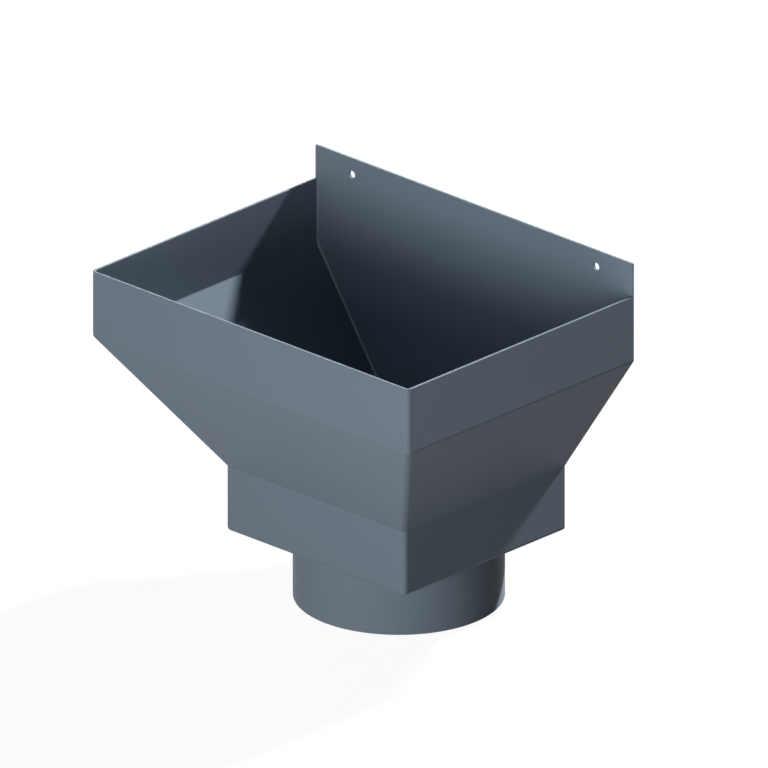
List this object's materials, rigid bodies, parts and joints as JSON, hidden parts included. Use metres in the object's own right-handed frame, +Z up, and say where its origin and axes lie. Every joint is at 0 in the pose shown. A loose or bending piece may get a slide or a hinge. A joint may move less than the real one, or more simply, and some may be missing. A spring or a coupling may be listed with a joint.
{
  "type": "downpipe hopper head",
  "caption": "Open-topped rectangular rainwater hopper of coated sheet, tapering to a box with a round spigot below, with a drilled back plate for fixing to a wall.",
  "frame": {"origin": "centre of the outlet spigot's lower end", "axes": "+Z up along the spigot's axis, +Y towards the wall, +X right for someone facing the wall"},
  "size_m": [0.2, 0.15, 0.1777],
  "materials": {
    "coated_sheet": "smooth satin blue-grey powder coat"
  },
  "bodies": {
    "root": {"hopper_shell": "coated_sheet", "back_plate": "coated_sheet", "outlet_spigot": "coated_sheet"}
  },
  "joints": []
}
